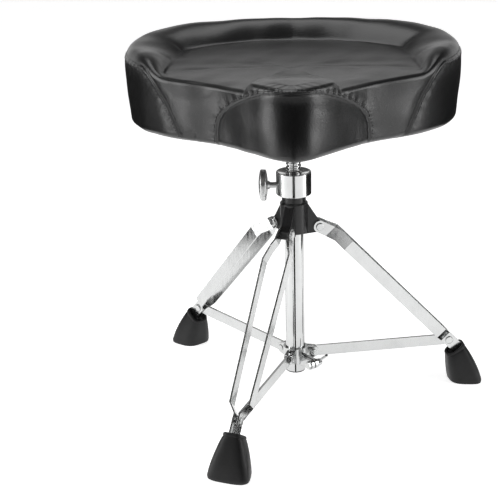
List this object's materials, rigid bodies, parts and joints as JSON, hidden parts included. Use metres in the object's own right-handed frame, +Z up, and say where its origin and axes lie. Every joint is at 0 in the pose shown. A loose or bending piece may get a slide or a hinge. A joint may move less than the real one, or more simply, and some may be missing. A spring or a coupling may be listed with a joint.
{
  "type": "drum throne",
  "caption": "Drum throne: a padded motorcycle-shaped seat on a threaded height spindle over a folding flat-strip tripod stand with rubber boots.",
  "frame": {"origin": "on the floor, under the column's axis", "axes": "+Z up along the column, the seat's nose points to -Y, +X is the sitter's left seen from the front (the viewer's right)"},
  "size_m": [0.4994, 0.4823, 0.498],
  "materials": {
    "black_plastic": "matte",
    "boot_rubber": "matte",
    "chrome_cast": "polished",
    "chrome_collar": "polished",
    "chrome_knob": "polished",
    "chrome_strip": "polished",
    "chrome_tube": "polished",
    "dust_cloth": "matte",
    "foam": "matte",
    "hub_paint": "satin",
    "leatherette": "satin",
    "nylon": "matte",
    "plate_paint": "satin",
    "plywood": "matte",
    "rivet_steel": "satin",
    "spindle_steel": "polished",
    "zinc_steel": "satin"
  },
  "bodies": {
    "stand": {"column_tube": "chrome_tube", "tube_end_cap": "black_plastic", "leg_hub": "hub_paint", "height_collar": "chrome_collar"},
    "lock": {"lock_knob": "chrome_knob", "lock_screw": "chrome_knob", "lock_pad": "nylon"},
    "spindle": {"spindle": "spindle_steel"},
    "seat": {"seat_cover": "leatherette", "seat_foam": "foam", "seat_board": "plywood", "underside_cloth": "dust_cloth", "seat_plate": "plate_paint", "plate_bolts": "zinc_steel", "tee_nuts": "zinc_steel", "staples": "zinc_steel"},
    "leg_right": {"leg_right_strip_a": "chrome_strip", "leg_right_strip_b": "chrome_strip", "leg_right_hub_rivet": "rivet_steel", "leg_right_brace_rivets": "rivet_steel", "leg_right_boot": "boot_rubber"},
    "leg_left": {"leg_left_strip_a": "chrome_strip", "leg_left_strip_b": "chrome_strip", "leg_left_hub_rivet": "rivet_steel", "leg_left_brace_rivets": "rivet_steel", "leg_left_boot": "boot_rubber"},
    "leg_front": {"leg_front_strip_a": "chrome_strip", "leg_front_strip_b": "chrome_strip", "leg_front_hub_rivet": "rivet_steel", "leg_front_brace_rivets": "rivet_steel", "leg_front_boot": "boot_rubber"},
    "bracket": {"lower_bracket": "chrome_cast", "pinch_bolt": "zinc_steel", "pinch_washer": "zinc_steel", "brace_right_pivot_pin": "rivet_steel", "brace_left_pivot_pin": "rivet_steel", "brace_front_pivot_pin": "rivet_steel"},
    "brace_right": {"brace_right": "chrome_strip"},
    "brace_left": {"brace_left": "chrome_strip"},
    "brace_front": {"brace_front": "chrome_strip"},
    "wing_nut": {"wing_nut": "chrome_cast"}
  },
  "joints": [
    {"name": "lock_turn", "type": "hinge", "parent": "stand", "child": "lock", "pos_m": [-0.0408, 0, 0.3076], "axis": [-1, 0, 0], "range_deg": [0, 720]},
    {"name": "seat_lift", "type": "slide", "parent": "stand", "child": "spindle", "axis": [0, 0, 1], "range_m": [-0.025, 0.1]},
    {"name": "seat_turn", "type": "hinge", "parent": "spindle", "child": "seat", "pos_m": [0, 0, 0.36], "axis": [0, 0, 1], "range_deg": [-1800, 7200]},
    {"name": "leg_right_fold", "type": "hinge", "parent": "stand", "child": "leg_right", "pos_m": [0.03331, 0.00629, 0.2484], "axis": [-0.1857, 0.9826, 0], "range_deg": [0, 39.94]},
    {"name": "leg_left_fold", "type": "hinge", "parent": "stand", "child": "leg_left", "pos_m": [-0.02211, 0.0257, 0.2484], "axis": [-0.7581, -0.6521, 0], "range_deg": [0, 39.94]},
    {"name": "leg_front_fold", "type": "hinge", "parent": "stand", "child": "leg_front", "pos_m": [-0.0112, -0.032, 0.2484], "axis": [0.9438, -0.3305, 0], "range_deg": [0, 39.94]},
    {"name": "bracket_slide", "type": "slide", "parent": "stand", "child": "bracket", "axis": [0, 0, 1], "range_m": [0, 0.11659]},
    {"name": "brace_right_fold", "type": "hinge", "parent": "bracket", "child": "brace_right", "pos_m": [0.02457, 0.00464, 0.063], "axis": [-0.1857, 0.9826, 0], "range_deg": [0, 80]},
    {"name": "brace_left_fold", "type": "hinge", "parent": "bracket", "child": "brace_left", "pos_m": [-0.0163, 0.01895, 0.063], "axis": [-0.7581, -0.6521, 0], "range_deg": [0, 80]},
    {"name": "brace_front_fold", "type": "hinge", "parent": "bracket", "child": "brace_front", "pos_m": [-0.00826, -0.0236, 0.063], "axis": [0.9438, -0.3305, 0], "range_deg": [0, 80]},
    {"name": "wing_nut_turn", "type": "hinge", "parent": "bracket", "child": "wing_nut", "pos_m": [0.02339, -0.02994, 0.0575], "axis": [0.788, 0.6157, 0], "range_deg": [0, 720]}
  ],
  "couplings": [
    {"joint": "seat_lift", "follows": "seat_turn", "m_per_rad": 0.00079577},
    {"joint": "leg_left_fold", "follows": "leg_right_fold", "ratio": 1},
    {"joint": "leg_front_fold", "follows": "leg_right_fold", "ratio": 1},
    {"joint": "bracket_slide", "follows": "leg_right_fold", "m_per_rad": 0.16725},
    {"joint": "brace_right_fold", "follows": "leg_right_fold", "ratio": 2.003},
    {"joint": "brace_left_fold", "follows": "leg_right_fold", "ratio": 2.003},
    {"joint": "brace_front_fold", "follows": "leg_right_fold", "ratio": 2.003}
  ]
}
